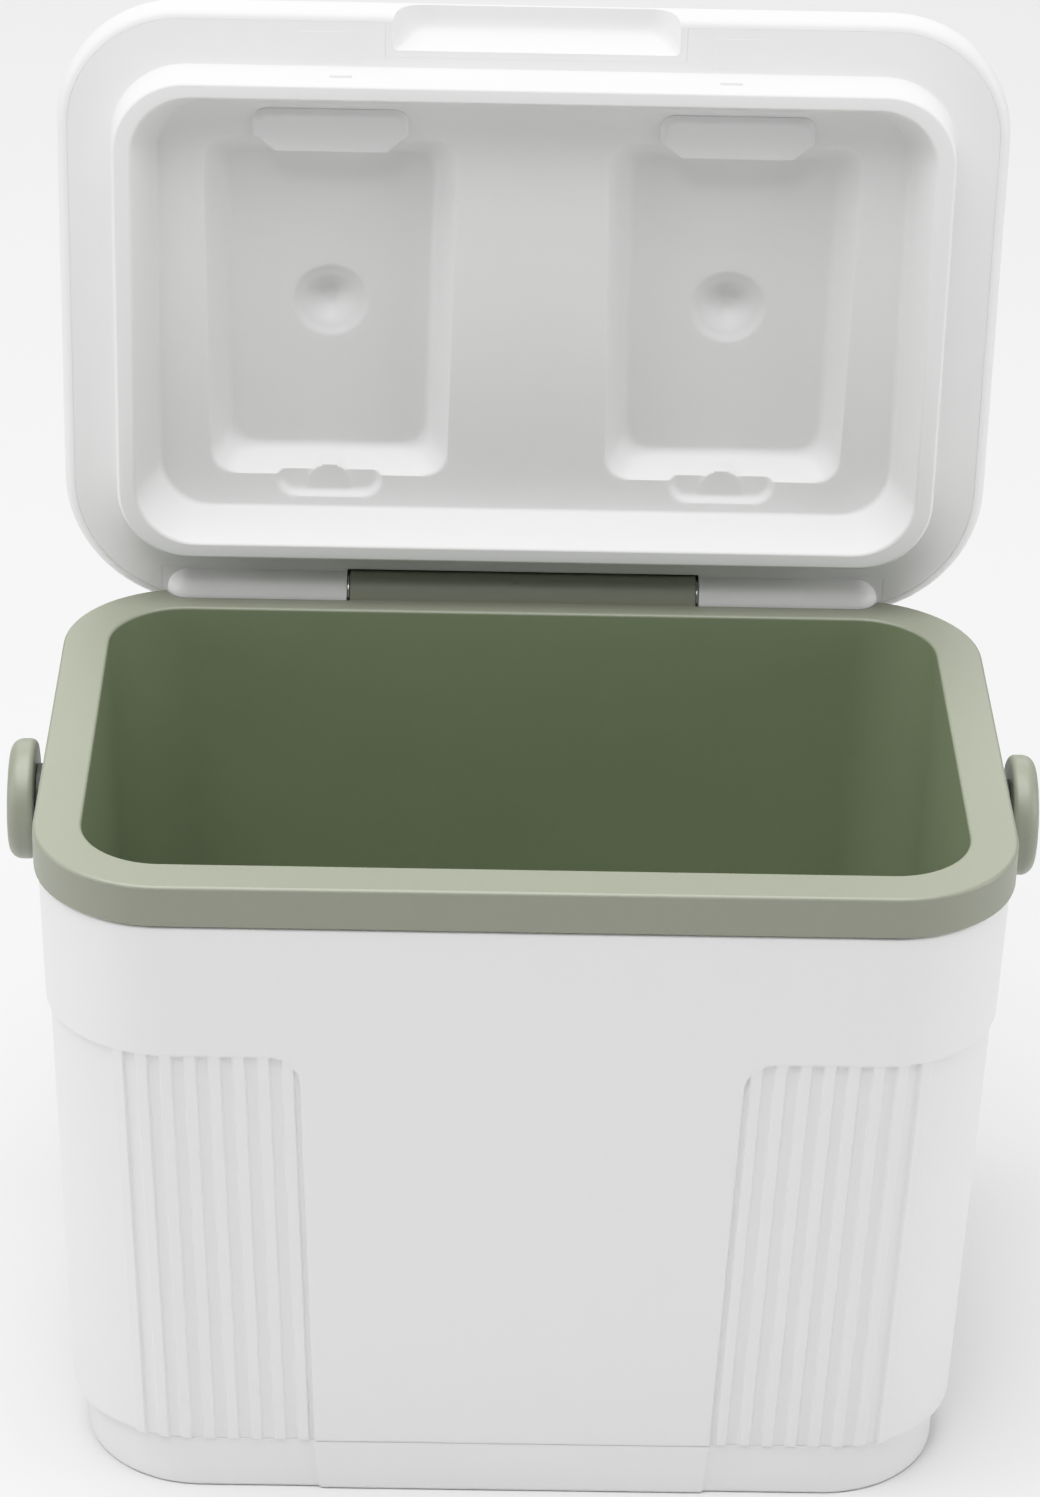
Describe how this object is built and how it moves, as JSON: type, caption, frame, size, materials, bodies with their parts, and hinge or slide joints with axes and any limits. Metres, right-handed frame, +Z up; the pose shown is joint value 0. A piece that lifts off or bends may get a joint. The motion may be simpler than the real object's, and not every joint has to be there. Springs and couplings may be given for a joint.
{
  "type": "portable cooler box",
  "caption": "Hard-sided portable cooler box with a ribbed outer shell, insulated inner liner with a wide collar, hinged insulated lid with ice-pack pockets and a swinging carry handle.",
  "frame": {"origin": "centre of the flat underside of the outer shell, on the surface it stands on", "axes": "+Z up, -Y towards the front of the box (the side away from the hinge), +X to the right seen from the front and along the hinge; stored with the lid open and the handle hanging behind"},
  "size_m": [0.3908, 0.263, 0.5108],
  "materials": {
    "white_shell": "satin",
    "white_lid": "satin",
    "green_liner": "satin",
    "green_handle": "satin",
    "foam": "matte",
    "steel": "satin"
  },
  "bodies": {
    "box": {"outer_shell": "white_shell", "inner_liner": "green_liner", "body_insulation": "foam", "foam_fill_plug": "white_shell", "hinge_pin_left": "steel", "hinge_pin_right": "steel", "pivot_stud_left": "green_handle", "pivot_stud_right": "green_handle", "pivot_spacer_left": "green_handle", "pivot_spacer_right": "green_handle", "handle_screw_left": "steel", "handle_screw_right": "steel", "handle_washer_left": "steel", "handle_washer_right": "steel"},
    "lid": {"lid_cover": "white_lid", "lid_inner_panel": "white_lid", "lid_insulation": "foam"},
    "handle": {"handle_bail": "green_handle", "handle_cap_left": "green_handle", "handle_cap_right": "green_handle"}
  },
  "joints": [
    {"name": "lid_hinge", "type": "hinge", "parent": "box", "child": "lid", "pos_m": [0, 0.12, 0.2678], "axis": [-1, 0, 0], "range_deg": [-90, 0]},
    {"name": "handle_swing", "type": "hinge", "parent": "box", "child": "handle", "pos_m": [0, 0, 0.2367], "axis": [1, 0, 0], "range_deg": [0, 32]}
  ]
}
